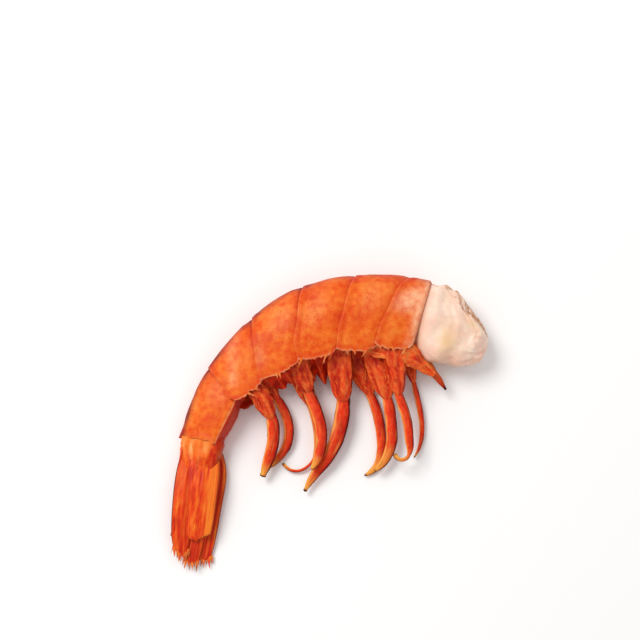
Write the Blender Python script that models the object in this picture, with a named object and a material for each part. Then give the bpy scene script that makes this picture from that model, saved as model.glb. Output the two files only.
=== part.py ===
"""Raw headless red shrimp, shell on, lying on its left side.

Metres, +Z up. The table is z = 0 and the origin is the middle of the footprint. The neck, where the
head came off, points to +X; the back is the outer side of the bend and the swimming legs hang towards
-Y. Each somite (ring of the tail) is one plate that overlaps the next, round a core of meat.
"""

import math
from bisect import bisect_right
from collections import namedtuple

import bmesh
import bpy
from mathutils import Vector

MM = 0.001
WELD = 1e-6

# Middle of the footprint, in the millimetres the places below are given in; it becomes the origin.
FOOTPRINT_MIDDLE = (0.73, 0.27)

RIGHT, LEFT = 1, -1

# --- Driving dimensions, in millimetres and degrees -------------------------------------------------
# The middle line runs from the bare stump at the neck to the root of the tail fan. Places along it
# are counted from the neck; the stations are the stump's tip, the neck and each plate's rear edge.
NECK_POINT = (26.6, 29.1)
STUMP_LENGTH = 20.0
SOMITE_LENGTHS = (9.8, 12.7, 13.3, 13.7, 13.2, 16.3)
STATIONS = [-STUMP_LENGTH] + [sum(SOMITE_LENGTHS[:k]) for k in range(len(SOMITE_LENGTHS) + 1)]
HEADINGS = (151.0, 169.0, 179.5, 188.0, 203.0, 220.5, 237.0, 256.0)
BACK = (10.0, 10.4, 10.8, 11.0, 10.5, 8.2, 7.6, 6.6)
BELLY = (10.8, 11.6, 12.0, 12.0, 11.6, 10.7, 8.2, 6.6)
HALF_WIDTH = (6.9, 7.4, 7.9, 8.0, 7.7, 6.7, 5.3, 3.9)
ROLL = (0.0, 0.0, 0.0, 0.0, 3.0, 8.0, 16.0, 18.0)

# How far each edge leans towards the neck for each millimetre above the middle line.
EDGE_SLANT = (0.09, 0.38, 0.37, 0.44, 0.52, 0.24, 0.06)
PLATE_WALL = 0.5
PLATE_GAP = 0.32
PLATE_OVERLAP = 2.2
PLATE_STEP = PLATE_WALL + PLATE_GAP
REST_FLAT = 0.55


# --- The body's middle line and cross-section -------------------------------------------------------
def between(places, values, place):
    """Value at the place, on straight runs between the values at the places."""
    if place <= places[0]:
        return values[0]
    if place >= places[-1]:
        return values[-1]
    k = bisect_right(places, place) - 1
    share = (place - places[k]) / (places[k + 1] - places[k])
    return values[k] + (values[k + 1] - values[k]) * share


def rounded(values, s, reach=3.0):
    """Value at s of a curve through the stations' values, its corners rounded over the reach."""
    return sum(between(STATIONS, values, s + reach * k / 4) for k in range(-4, 5)) / 9


def walk(start, heading_at, length, steps):
    """Points reached by walking the length from the start, turning as heading_at(share) says."""
    points = [Vector((start[0], start[1], 0))]
    for k in range(steps):
        heading = math.radians(heading_at((k + 0.5) / steps))
        points.append(points[-1] + Vector((math.cos(heading), math.sin(heading), 0)) * length / steps)
    return points


def middle_line(steps_before=40, steps_after=160):
    """Places along the body and the points they lie at."""
    total = STATIONS[-1]
    before = walk(
        NECK_POINT,
        lambda share: 180 + between(STATIONS, HEADINGS, -share * STUMP_LENGTH),
        STUMP_LENGTH,
        steps_before,
    )
    after = walk(
        NECK_POINT, lambda share: between(STATIONS, HEADINGS, share * total), total, steps_after
    )
    places = [-STUMP_LENGTH * (1 - k / steps_before) for k in range(steps_before)]
    places += [total * k / steps_after for k in range(steps_after + 1)]
    return places, list(reversed(before))[:-1] + after


LINE_PLACES, LINE_POINTS = middle_line()


def section(s, inset=0.0):
    """Half sizes of the body at s: up to the back, down to the belly, and to each side."""
    return tuple(rounded(values, s) - inset for values in (BACK, BELLY, HALF_WIDTH))


def body_point(s, up, across, floor=0.0):
    """World point at s along the body, up towards the back and across to the right side."""
    heading = math.radians(between(STATIONS, HEADINGS, s))
    back = Vector((math.sin(heading), -math.cos(heading), 0))
    middle = LINE_POINTS[0]
    if s > LINE_PLACES[0]:
        k = min(bisect_right(LINE_PLACES, s), len(LINE_PLACES) - 1) - 1
        share = (s - LINE_PLACES[k]) / (LINE_PLACES[k + 1] - LINE_PLACES[k])
        middle = LINE_POINTS[k].lerp(LINE_POINTS[k + 1], share)
    else:
        middle = middle - Vector((math.cos(heading), math.sin(heading), 0)) * (LINE_PLACES[0] - s)
    roll = math.radians(rounded(ROLL, s))
    rolled_up = up * math.cos(roll) + across * math.sin(roll)
    rolled_across = across * math.cos(roll) - up * math.sin(roll)
    height = rounded(HALF_WIDTH, s) - REST_FLAT + rolled_across
    return (middle + back * rolled_up + Vector((0, 0, max(height, floor)))) * MM


# --- Meshes -----------------------------------------------------------------------------------------
def wrapped_grid(columns, rows, place):
    """A grid whose every vertex goes where place(u, v) says, welded where it meets itself."""
    mesh = bmesh.new()
    bmesh.ops.create_grid(mesh, x_segments=columns, y_segments=rows, size=0.5)
    for vertex in mesh.verts:
        vertex.co = place(vertex.co.x + 0.5, vertex.co.y + 0.5)
    bmesh.ops.remove_doubles(mesh, verts=mesh.verts[:], dist=WELD)
    bmesh.ops.recalc_face_normals(mesh, faces=mesh.faces[:])
    return mesh


def close_ends(mesh):
    """Fills the open ends of a tube and points its faces outwards."""
    edges = [edge for edge in mesh.edges if edge.is_boundary]
    bmesh.ops.holes_fill(mesh, edges=edges, sides=0)
    bmesh.ops.recalc_face_normals(mesh, faces=mesh.faces[:])


def finished(name, mesh, material):
    """Makes the bmesh an object with its material."""
    to_origin = Vector((-FOOTPRINT_MIDDLE[0], -FOOTPRINT_MIDDLE[1], 0)) * MM
    bmesh.ops.translate(mesh, verts=mesh.verts[:], vec=to_origin)
    data = bpy.data.meshes.new(name)
    mesh.to_mesh(data)
    mesh.free()
    data.materials.append(material)
    data.shade_smooth()
    data.set_sharp_from_angle(angle=math.radians(50))
    made = bpy.data.objects.new(name, data)
    bpy.context.scene.collection.objects.link(made)
    return made


def surface_material(name, colour, roughness):
    """A plain dielectric in the colour of the raw food."""
    made = bpy.data.materials.new(name)
    made.use_nodes = True
    shader = made.node_tree.nodes["Principled BSDF"]
    shader.inputs["Base Color"].default_value = (*colour, 1)
    shader.inputs["Roughness"].default_value = roughness
    shader.inputs["Metallic"].default_value = 0
    return made


# --- Meat -------------------------------------------------------------------------------------------
MEAT_INSET = 2 * PLATE_STEP + 0.1
NECK_INSET = PLATE_STEP + 0.1
MEAT_BELLY_SHARE = 0.66
MEAT_END = STATIONS[-1] - 3.0
STUMP_SWELL = 0.7
STUMP_BLUNTNESS = 5.0
CUT_SLANT_BACK = 0.80
CUT_SLANT_BELLY = 0.34


def meat_point(u, v):
    """The stump is a lumpy block cut back along the back; under the plates the core is slimmer."""
    s = -STUMP_LENGTH + (MEAT_END + STUMP_LENGTH) * v**1.35
    angle = 2 * math.pi * u
    bare = min(1.0, max(0.0, -(s + 0.6) / 3.2))
    loose = min(1.0, max(0.0, (3.0 - s) / 3.0))
    open_belly = min(1.0, max(0.0, (3.4 - s) / 4.0))
    reach = min(1.0, max(0.0, -s / STUMP_LENGTH))
    size = (1 - reach**STUMP_BLUNTNESS) ** 0.45
    lumps = 0.30 * math.sin(2 * angle + 0.45 * s) + 0.24 * math.sin(3 * angle - 0.8 * s + 1.3)
    swell = bare * (STUMP_SWELL + lumps)
    inset = MEAT_INSET - (MEAT_INSET - NECK_INSET) * loose
    back, belly, side = section(s, inset)
    belly *= MEAT_BELLY_SHARE + (1.0 - MEAT_BELLY_SHARE) * open_belly
    up = math.cos(angle)
    across = math.sin(angle)
    if up < 0:
        across = math.copysign(abs(across) ** 0.65, across)
    up *= (back if up > 0 else belly) + swell
    across *= side + swell
    slant = CUT_SLANT_BACK if up > 0 else CUT_SLANT_BELLY
    return body_point(
        s + slant * reach * up * size, up * size, across * size, inset * (1 - bare)
    )


def make_meat(material):
    mesh = wrapped_grid(28, 34, meat_point)
    close_ends(mesh)
    return finished("meat", mesh, material)


# --- Plates -----------------------------------------------------------------------------------------
# Each open plate's lower corners are cut back by a share of its depth, and its rear edge reaches
# over the next plate half way down its flap, by a few millimetres.
CORNER_CUT = (0.16, 0.10, 0.12, 0.16, 0.20)
REAR_LOBE = (0.4, 0.3, 0.8, 0.0, 1.9)
FLAP_TUCK = 0.2
PLATE_COLUMNS, PLATE_ROWS = 24, 6


def tucked(past_edge):
    """How far a plate's front is drawn in under the plate before it, past_edge behind its rear."""
    return PLATE_STEP * (1 - min(1.0, max(0.0, (past_edge - 0.9) / 3.6)))


def plate_point(number, u, v):
    """u goes from the left flap's edge over the back to the right flap's edge, v from front to rear."""
    side = RIGHT if u >= 0.5 else LEFT
    turn = abs(u - 0.5) * 2
    lower = max(0.0, 2 * turn - 1)
    back, belly, _ = section((STATIONS[number] + STATIONS[number + 1]) / 2)
    level = back * math.cos(math.pi * turn) if lower == 0 else -belly * lower
    front = STATIONS[number] - EDGE_SLANT[number - 1] * level
    rear = STATIONS[number + 1] - EDGE_SLANT[number] * level
    rear += REAR_LOBE[number - 1] * math.sin(math.pi * lower) ** 2
    if number > 1:
        front -= PLATE_OVERLAP
    s = front + (rear - front) * v
    edge = STATIONS[number] - EDGE_SLANT[number - 1] * level
    inset = tucked(s - edge) if number > 1 else 0.0
    back, belly, width = section(s, inset)
    if lower == 0:
        up = back * math.cos(math.pi * turn)
        across = width * math.sin(math.pi * turn)
    else:
        up = -belly * lower * (1 - CORNER_CUT[number - 1] * abs(2 * v - 1) ** 2.5)
        across = width * (1 - FLAP_TUCK * (up / belly) ** 2)
    return body_point(s, up, side * across, inset)


def thickened(made):
    """Gives an open surface the wall of a plate, on its inner side."""
    wall = made.modifiers.new("wall", "SOLIDIFY")
    wall.thickness = PLATE_WALL * MM
    wall.offset = -1
    return made


def make_plate(number, material):
    mesh = wrapped_grid(PLATE_COLUMNS, PLATE_ROWS, lambda u, v: plate_point(number, u, v))
    return thickened(finished(f"plate_{number}", mesh, material))


# The last plate is a closed ring with a flat belly; its rear edge ends in a small spine at the back.
RING_SPINE = 0.5
RING_LOBE_CLEARANCE = 1.6


def ring_point(u, v):
    angle = 2 * math.pi * u
    upward = math.cos(angle)
    back, belly, _ = section((STATIONS[6] + STATIONS[7]) / 2)
    level = (back if upward > 0 else belly) * upward
    edge = STATIONS[6] - EDGE_SLANT[5] * level
    front = edge - PLATE_OVERLAP
    rear = STATIONS[7] - EDGE_SLANT[6] * level
    s = front + (rear - front) * v
    lobe = RING_LOBE_CLEARANCE if upward < 0.2 else 0.0
    inset = tucked(s - edge - lobe)
    back, belly, width = section(s, inset)
    spine = RING_SPINE * max(0.0, v - 0.86) / 0.14
    if upward > 0:
        up = (back + spine * upward**8) * upward
        across = width * math.sin(angle)
    else:
        up = -belly * abs(upward) ** 0.8
        across = math.copysign(width * abs(math.sin(angle)) ** 0.55, math.sin(angle))
    return body_point(s + 1.6 * spine * max(0.0, upward) ** 8, up, across, inset)


def make_ring(material):
    mesh = wrapped_grid(28, 8, ring_point)
    return thickened(finished("plate_6", mesh, material))


# --- Limbs ------------------------------------------------------------------------------------------
def eased(values, share):
    """Value at the share of a smooth curve through evenly spread values."""
    place = share * (len(values) - 1)
    k = min(int(place), len(values) - 2)
    f = place - k
    b, c = values[k], values[k + 1]
    slope_b = (c - values[max(k - 1, 0)]) / 2
    slope_c = (values[min(k + 2, len(values) - 1)] - b) / 2
    square, cube = f * f, f * f * f
    return (
        b * (2 * cube - 3 * square + 1)
        + slope_b * (cube - 2 * square + f)
        + c * (3 * square - 2 * cube)
        + slope_c * (cube - square)
    )


def limb_path(start, headings, length, heights, count):
    """Points of a limb that leaves start, turns through the headings and follows the heights."""
    flat = walk(start, lambda share: eased(headings, share), length, count)
    return [Vector((p.x, p.y, eased(heights, k / count))) for k, p in enumerate(flat)]


def strand(path, width, thickness, shape, sides):
    """A flattened tube along the path: shape(share) is its size at that share of the path."""
    last = len(path) - 1

    def place(u, v):
        k = round(v * last)
        along = (path[min(k + 1, last)] - path[max(k - 1, 0)]).normalized()
        side = along.cross(Vector((0, 0, 1))).normalized()
        wide = side * (width / 2 * shape(v) * math.cos(2 * math.pi * u))
        thick = side.cross(along) * (thickness / 2 * shape(v) * math.sin(2 * math.pi * u))
        return (path[k] + wide + thick) * MM

    mesh = wrapped_grid(sides, last, place)
    close_ends(mesh)
    return mesh


def union_of(name, meshes, material):
    """One solid made of the meshes, which overlap."""
    joined, *others = [finished(f"{name}_{k}", mesh, material) for k, mesh in enumerate(meshes)]
    for other in others:
        union = joined.modifiers.new("union", "BOOLEAN")
        union.operation = "UNION"
        union.object = other
        union.solver = "EXACT"
    bpy.context.view_layer.update()
    graph = bpy.context.evaluated_depsgraph_get()
    data = bpy.data.meshes.new_from_object(joined.evaluated_get(graph))
    joined.modifiers.clear()
    joined.data = data
    joined.name = data.name = name
    for other in others:
        bpy.data.objects.remove(other)
    return joined


# Swimming legs: a stout root from under the plate to the knee, then a tapering blade. The root sits
# at a share of its somite's length and across from its middle; hook is the share of the blade that is
# a fine curled tip.
Leg = namedtuple("Leg", "share across root_width knee headings length width tip_height taper hook")
LEGS = {
    (1, RIGHT): Leg(
        0.90, 4.8, 4.2, (19.9, 5.8, 8.0), (289, 288, 275, 258, 108), 22.0, 2.7, 6.0, 6.0, 0.2
    ),
    (1, LEFT): Leg(
        0.50, -3.1, 2.6, (24.4, 10.1, 2.6), (280, 283, 277, 262, 236), 21.3, 1.6, 1.0, 3.5, 0.0
    ),
    (2, RIGHT): Leg(
        0.36, 1.6, 6.2, (16.8, 5.3, 5.0), (288, 277, 271, 244, 218), 21.6, 3.2, 3.4, 5.0, 0.0
    ),
    (2, LEFT): Leg(
        0.80, -3.1, 5.0, (12.2, 6.9, 2.0), (301, 285, 276, 254, 202), 24.9, 2.8, 1.0, 5.0, 0.0
    ),
    (3, RIGHT): Leg(
        0.20, 3.1, 6.2, (4.2, 4.4, 5.6), (272, 260, 245, 231, 245), 27.4, 4.3, 2.2, 2.6, 0.0
    ),
    (3, LEFT): Leg(
        0.28, -3.1, 3.8, (5.1, 6.4, 2.0), (267, 262, 256, 251, 240), 15.3, 2.6, 1.0, 4.0, 0.0
    ),
    (4, RIGHT): Leg(
        0.30, 3.1, 5.6, (-5.4, 7.0, 5.8), (295, 292, 279, 258, 236), 22.7, 3.3, 5.2, 6.0, 0.0
    ),
    (4, LEFT): Leg(
        0.35, -2.6, 3.8, (-4.6, 3.5, 2.0), (297, 281, 260, 209, 124), 25.7, 2.4, 1.0, 5.0, 0.38
    ),
    (5, RIGHT): Leg(
        0.50, 3.1, 5.0, (-15.6, -0.4, 6.6), (291, 275, 260, 250, 251), 16.2, 3.5, 3.0, 5.0, 0.0
    ),
    (5, LEFT): Leg(
        0.30, -1.9, 3.2, (-13.9, 5.2, 3.6), (309, 294, 269, 235, 223), 21.3, 2.7, 1.0, 5.0, 0.0
    ),
}
ROOT_CLEARANCE = 0.5
ROOT_THICKNESS = 2.6
BLADE_THICKNESS = 1.5
KNEE_OVERLAP = 1.2


def root_shape(share):
    """Width of a leg's root: narrow where it hangs, widest at two thirds."""
    return 0.50 + 0.50 * math.sin(math.pi * min(1.0, 0.08 + 0.8 * share))


def blade_shape(taper, hook):
    """Width along a leg's blade: full below the knee, thinning to the tip or to a fine hook."""

    def shape(share):
        swell = 0.74 + 0.26 * min(1.0, share / 0.18)
        body = max(0.0, 1 - (share / (1 - hook)) ** taper) if share < 1 - hook else 0.0
        return max(0.30 - 0.14 * share, swell * body**0.6)

    return shape


def make_leg(number, side, material):
    leg = LEGS[(number, side)]
    s = STATIONS[number] + leg.share * SOMITE_LENGTHS[number - 1]
    _, belly, _ = section(s, MEAT_INSET)
    start = body_point(s, -(belly * MEAT_BELLY_SHARE + ROOT_CLEARANCE), leg.across) / MM
    knee = Vector(leg.knee)
    root = [start.lerp(knee, k / 6) for k in range(7)]
    first = math.radians(leg.headings[0])
    above = knee - Vector((math.cos(first), math.sin(first), 0)) * KNEE_OVERLAP
    heights = (knee.z - 0.2, (knee.z + leg.tip_height) / 2, leg.tip_height)
    path = limb_path(above, leg.headings, leg.length + KNEE_OVERLAP, heights, 15)
    meshes = [
        strand(root, leg.root_width, ROOT_THICKNESS, root_shape, 8),
        strand(path, leg.width, BLADE_THICKNESS, blade_shape(leg.taper, leg.hook), 8),
    ]
    return union_of(f"leg_{number}_{'right' if side == RIGHT else 'left'}", meshes, material)


# The stub of a torn walking leg lies along the belly side of the neck.
STUB_START = (18.2, 18.8)
STUB_HEADINGS = (329, 334, 325, 318)
STUB_LENGTH = 18.8
STUB_HEIGHTS = (6.2, 5.6, 4.8)
STUB_WIDTH, STUB_THICKNESS = 3.9, 2.0


def make_stub(material):
    path = limb_path(STUB_START, STUB_HEADINGS, STUB_LENGTH, STUB_HEIGHTS, 14)
    mesh = strand(path, STUB_WIDTH, STUB_THICKNESS, lambda t: max(0.26, (1 - t**3.4) ** 0.8), 10)
    return finished("leg_stub", mesh, material)


# --- Tail fan ---------------------------------------------------------------------------------------
# The telson stands on edge at the back; the right pair of blades lies above the left pair.
Blade = namedtuple("Blade", "start headings length width thickness end heights")
FAN = {
    "telson": Blade((-40.0, -4.9), (257, 263, 265, 259), 27.9, 1.3, 3.4, 0.1, (2.9, 2.7, 2.3)),
    "tail_right_inner": Blade(
        (-38.2, -5.1), (264, 262, 266, 273), 32.8, 6.0, 0.8, 0.6, (4.6, 4.5, 2.9)
    ),
    "tail_right_outer": Blade(
        (-35.0, -5.2), (277, 269, 264, 264), 28.4, 8.8, 0.8, 0.62, (5.7, 5.8, 4.2)
    ),
    "tail_left_inner": Blade(
        (-35.2, -4.8), (271, 267, 263, 261), 35.5, 6.0, 0.8, 0.6, (2.6, 2.2, 1.7)
    ),
    "tail_left_outer": Blade(
        (-34.6, -5.9), (303, 265, 262, 263), 34.2, 6.8, 0.8, 0.6, (1.5, 1.0, 0.8)
    ),
}
FAN_ROOT_SHARE = 0.42


def fan_shape(end):
    """Width along a tail blade: swelling from the root, narrowing a little, then a rounded end."""

    def shape(share):
        swell = FAN_ROOT_SHARE + (1 - FAN_ROOT_SHARE) * math.sin(math.pi / 2 * min(1.0, share / 0.32))
        narrowing = 1 - 0.25 * max(0.0, share - 0.35)
        return swell * narrowing * (end + (1 - end) * (1 - share**9) ** 0.5)

    return shape


def telson_shape(share):
    return max(0.12, (1 - share) ** 0.75)


def make_fan_blade(name, material):
    blade = FAN[name]
    shape = telson_shape if name == "telson" else fan_shape(blade.end)
    path = limb_path(blade.start, blade.headings, blade.length, blade.heights, 14)
    return finished(name, strand(path, blade.width, blade.thickness, shape, 10), material)


# --- The whole shrimp -------------------------------------------------------------------------------
def main():
    for old in list(bpy.data.objects):
        bpy.data.objects.remove(old)
    meat = surface_material("raw_meat", (0.92, 0.70, 0.56), 0.35)
    plate = surface_material("plate", (0.88, 0.16, 0.025), 0.3)
    leg = surface_material("leg", (0.76, 0.06, 0.02), 0.35)
    tail = surface_material("tail", (0.84, 0.10, 0.025), 0.35)
    make_meat(meat)
    for number in range(1, 6):
        make_plate(number, plate)
    make_ring(plate)
    for number, side in LEGS:
        make_leg(number, side, leg)
    make_stub(leg)
    for name in FAN:
        make_fan_blade(name, tail)


main()
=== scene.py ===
"""Raw headless red shrimp, shell on, lying on its left side: the finish of every piece.

Sizes are in millimetres and become metres in body_point, strand and hair. Places along the body are
counted from the neck, where the head came off; up is towards the back, across is towards the right
side, which faces up. The sections follow the shrimp as it is put together, from the meat outwards.
"""

import math
import random
from bisect import bisect_right
from collections import namedtuple

import bmesh
import bpy
from mathutils import Matrix, Vector, kdtree, noise


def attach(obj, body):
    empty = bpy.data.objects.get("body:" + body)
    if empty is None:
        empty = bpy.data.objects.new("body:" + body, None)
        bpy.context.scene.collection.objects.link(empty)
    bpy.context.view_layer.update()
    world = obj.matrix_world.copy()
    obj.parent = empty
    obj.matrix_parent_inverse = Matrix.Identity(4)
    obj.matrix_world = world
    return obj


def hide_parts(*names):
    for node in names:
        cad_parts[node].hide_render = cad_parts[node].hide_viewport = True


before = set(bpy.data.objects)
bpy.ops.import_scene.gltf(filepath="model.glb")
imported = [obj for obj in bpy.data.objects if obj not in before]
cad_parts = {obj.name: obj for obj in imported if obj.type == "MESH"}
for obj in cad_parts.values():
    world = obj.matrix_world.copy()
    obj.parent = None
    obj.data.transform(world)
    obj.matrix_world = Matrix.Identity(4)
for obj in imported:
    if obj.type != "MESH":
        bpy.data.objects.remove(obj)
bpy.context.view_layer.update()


# --- Meat of the tail ---------------------------------------------------------------------------
# The tail's muscle, raw and wet: a bare stump where the head was twisted off and a slimmer core
# under the shell. It is soft milky flesh in long fibre bundles, torn and a little browned where
# it parted, and the shell rings that grew round it hold it.
MM = 0.001
FOOTPRINT_MIDDLE = Vector((0.73, 0.27, 0))
NECK_POINT = (26.6, 29.1)
STUMP_LENGTH = 20.0
SOMITE_LENGTHS = (9.8, 12.7, 13.3, 13.7, 13.2, 16.3)
STATIONS = [-STUMP_LENGTH] + [sum(SOMITE_LENGTHS[:k]) for k in range(len(SOMITE_LENGTHS) + 1)]
HEADINGS = (151.0, 169.0, 179.5, 188.0, 203.0, 220.5, 237.0, 256.0)
BACK = (10.0, 10.4, 10.8, 11.0, 10.5, 8.2, 7.6, 6.6)
BELLY = (10.8, 11.6, 12.0, 12.0, 11.6, 10.7, 8.2, 6.6)
HALF_WIDTH = (6.9, 7.4, 7.9, 8.0, 7.7, 6.7, 5.3, 3.9)
ROLL = (0.0, 0.0, 0.0, 0.0, 3.0, 8.0, 16.0, 18.0)
REST_FLAT = 0.55
PLATE_WALL = 0.5
PLATE_STEP = PLATE_WALL + 0.32
MEAT_INSET = 2 * PLATE_STEP + 0.1
NECK_INSET = PLATE_STEP + 0.1
MEAT_BELLY_SHARE = 0.66
MEAT_END = STATIONS[-1] - 3.0
MEAT_COLUMNS, MEAT_ROWS = 200, 240
STUMP_SWELL = 0.7
STUMP_BLUNTNESS = 5.0
FLANK_SQUARENESS = 0.65
CUT_SLANT_BACK, CUT_SLANT_BELLY = 0.80, 0.34
STUMP_HANG = 1.3
STUMP_BITE = 4.2
STUMP_NOTCH = 3.0
FLESH, FLESH_PINK, FLESH_CREAM = "#F8DCC9", "#F4CDBA", "#ECC48E"
FLESH_SHADE, FLESH_BROWN = "#E8A988", "#B4680C"


def clamp(value):
    return min(1.0, max(0.0, value))


def near(distance, reach):
    """1 at no distance, falling smoothly to nearly 0 past the reach."""
    return math.exp(-((distance / reach) ** 2))


def bumps(size, *place):
    """Smooth random value, about -1 to 1, whose bumps are size mm across, at a place in mm."""
    return noise.noise(Vector(place) / size) * 1.6


def boxy(value, power):
    """The value to the power, its sign kept; a power below 1 squares a round section off."""
    return math.copysign(abs(value) ** power, value)


def between(places, values, place):
    """Value at the place, on straight runs between the values at the places."""
    if place <= places[0]:
        return values[0]
    if place >= places[-1]:
        return values[-1]
    k = bisect_right(places, place) - 1
    share = (place - places[k]) / (places[k + 1] - places[k])
    return values[k] + (values[k + 1] - values[k]) * share


def rounded(values, s, reach=3.0):
    """Value at s of a curve through the stations' values, its corners rounded over the reach."""
    return sum(between(STATIONS, values, s + reach * k / 4) for k in range(-4, 5)) / 9


def walk(start, heading_at, length, steps):
    """Points reached by walking the length from the start, turning as heading_at(share) says."""
    points = [Vector((start[0], start[1], 0))]
    for k in range(steps):
        heading = math.radians(heading_at((k + 0.5) / steps))
        step = Vector((math.cos(heading), math.sin(heading), 0)) * length / steps
        points.append(points[-1] + step)
    return points


def middle_line(steps_before=40, steps_after=160):
    """Places along the body and the points they lie at."""
    total = STATIONS[-1]
    before = walk(
        NECK_POINT,
        lambda share: 180 + between(STATIONS, HEADINGS, -share * STUMP_LENGTH),
        STUMP_LENGTH,
        steps_before,
    )
    after = walk(
        NECK_POINT, lambda share: between(STATIONS, HEADINGS, share * total), total, steps_after
    )
    places = [-STUMP_LENGTH * (1 - k / steps_before) for k in range(steps_before)]
    places += [total * k / steps_after for k in range(steps_after + 1)]
    return places, list(reversed(before))[:-1] + after


LINE_PLACES, LINE_POINTS = middle_line()


def section(s, inset=0.0):
    """Half sizes of the body at s: up to the back, down to the belly, and to each side."""
    return tuple(rounded(values, s) - inset for values in (BACK, BELLY, HALF_WIDTH))


def body_point(s, up, across, floor=0.0):
    """Point in metres at s along the body, up towards the back and across to the right side."""
    heading = math.radians(between(STATIONS, HEADINGS, s))
    back = Vector((math.sin(heading), -math.cos(heading), 0))
    if s > LINE_PLACES[0]:
        k = min(bisect_right(LINE_PLACES, s), len(LINE_PLACES) - 1) - 1
        share = (s - LINE_PLACES[k]) / (LINE_PLACES[k + 1] - LINE_PLACES[k])
        middle = LINE_POINTS[k].lerp(LINE_POINTS[k + 1], share)
    else:
        ahead = Vector((math.cos(heading), math.sin(heading), 0))
        middle = LINE_POINTS[0] - ahead * (LINE_PLACES[0] - s)
    roll = math.radians(rounded(ROLL, s))
    rolled_up = up * math.cos(roll) + across * math.sin(roll)
    rolled_across = across * math.cos(roll) - up * math.sin(roll)
    height = rounded(HALF_WIDTH, s) - REST_FLAT + rolled_across
    return (middle - FOOTPRINT_MIDDLE + back * rolled_up + Vector((0, 0, max(height, floor)))) * MM


def laid_grid(columns, rows, place, tint):
    """A grid laid by place(u, v) and tinted by tint(u, v), welded where it meets itself."""
    mesh = bmesh.new()
    tints = mesh.verts.layers.float_color.new("tint")
    bmesh.ops.create_grid(mesh, x_segments=columns, y_segments=rows, size=0.5)
    for vertex in mesh.verts:
        u, v = vertex.co.x + 0.5, vertex.co.y + 0.5
        vertex[tints] = tint(u, v)
        vertex.co = place(u, v)
    bmesh.ops.remove_doubles(mesh, verts=mesh.verts[:], dist=0.002 * MM)
    bmesh.ops.recalc_face_normals(mesh, faces=mesh.faces[:])
    return mesh


def close_ends(mesh):
    """Fills the open ends of a tube and points its faces outwards."""
    edges = [edge for edge in mesh.edges if edge.is_boundary]
    bmesh.ops.holes_fill(mesh, edges=edges, sides=0)
    bmesh.ops.recalc_face_normals(mesh, faces=mesh.faces[:])


def linked(name, data):
    """An object with this data, linked to the scene at the origin."""
    made = bpy.data.objects.new(name, data)
    bpy.context.scene.collection.objects.link(made)
    return made


def made_object(name, mesh, material, sharp=60):
    """Makes the bmesh an object at the origin, smooth but for edges sharper than sharp degrees."""
    data = bpy.data.meshes.new(name)
    mesh.to_mesh(data)
    mesh.free()
    data.materials.append(material)
    data.shade_smooth()
    data.set_sharp_from_angle(angle=math.radians(sharp))
    return linked(name, data)


def srgb(code):
    """Linear colour of an sRGB hex value."""
    shares = [int(code[k : k + 2], 16) / 255 for k in (1, 3, 5)]
    return [*(c / 12.92 if c <= 0.04045 else ((c + 0.055) / 1.055) ** 2.4 for c in shares), 1.0]


def add(tree, kind, inputs=None, stops=(), **settings):
    """Adds a node with its settings; inputs gives its sockets values or links, stops its ramp."""
    made = tree.nodes.new("ShaderNode" + kind)
    for name, value in settings.items():
        setattr(made, name, value)
    for socket, value in (inputs or {}).items():
        if isinstance(value, bpy.types.NodeSocket):
            tree.links.new(value, made.inputs[socket])
        else:
            made.inputs[socket].default_value = value
    for k, (position, colour) in enumerate(stops):
        ramp = made.color_ramp.elements
        stop = ramp[k] if k < 2 else ramp.new(position)
        stop.position = position
        stop.color = srgb(colour)
    return made


# A Mix node's colour sockets, which share their names with its number sockets.
MIX_A, MIX_B, MIX_RESULT = 6, 7, 2


def started(name, settings):
    """A new material with its shader set, its tree, the place on the piece, tint zones and alpha."""
    material = bpy.data.materials.new(name)
    material.use_nodes = True
    tree = material.node_tree
    for socket, value in settings.items():
        tree.nodes["Principled BSDF"].inputs[socket].default_value = value
    place = add(tree, "TexCoord").outputs["Object"]
    tint = add(tree, "Attribute", attribute_name="tint").outputs
    zones = add(tree, "SeparateColor", {"Color": tint["Color"]}).outputs
    return material, tree, place, zones, tint["Alpha"]


def finished(material, colour, layers, height=None, strength=0.0, depth=0.0, roughness=None):
    """Lays each layer's colour on as strongly as its mask says, and a relief depth mm deep."""
    tree = material.node_tree
    shader = tree.nodes["Principled BSDF"]
    for mask, over in layers:
        inputs = {"Factor": mask, MIX_A: colour, MIX_B: srgb(over)}
        colour = add(tree, "Mix", inputs, data_type="RGBA").outputs[MIX_RESULT]
    tree.links.new(colour, shader.inputs["Base Color"])
    if height is not None:
        inputs = {"Strength": strength, "Distance": depth * MM, "Height": height}
        relief = add(tree, "Bump", inputs).outputs["Normal"]
        tree.links.new(relief, shader.inputs["Normal"])
    if roughness is not None:
        tree.links.new(roughness, shader.inputs["Roughness"])
    return material


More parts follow.
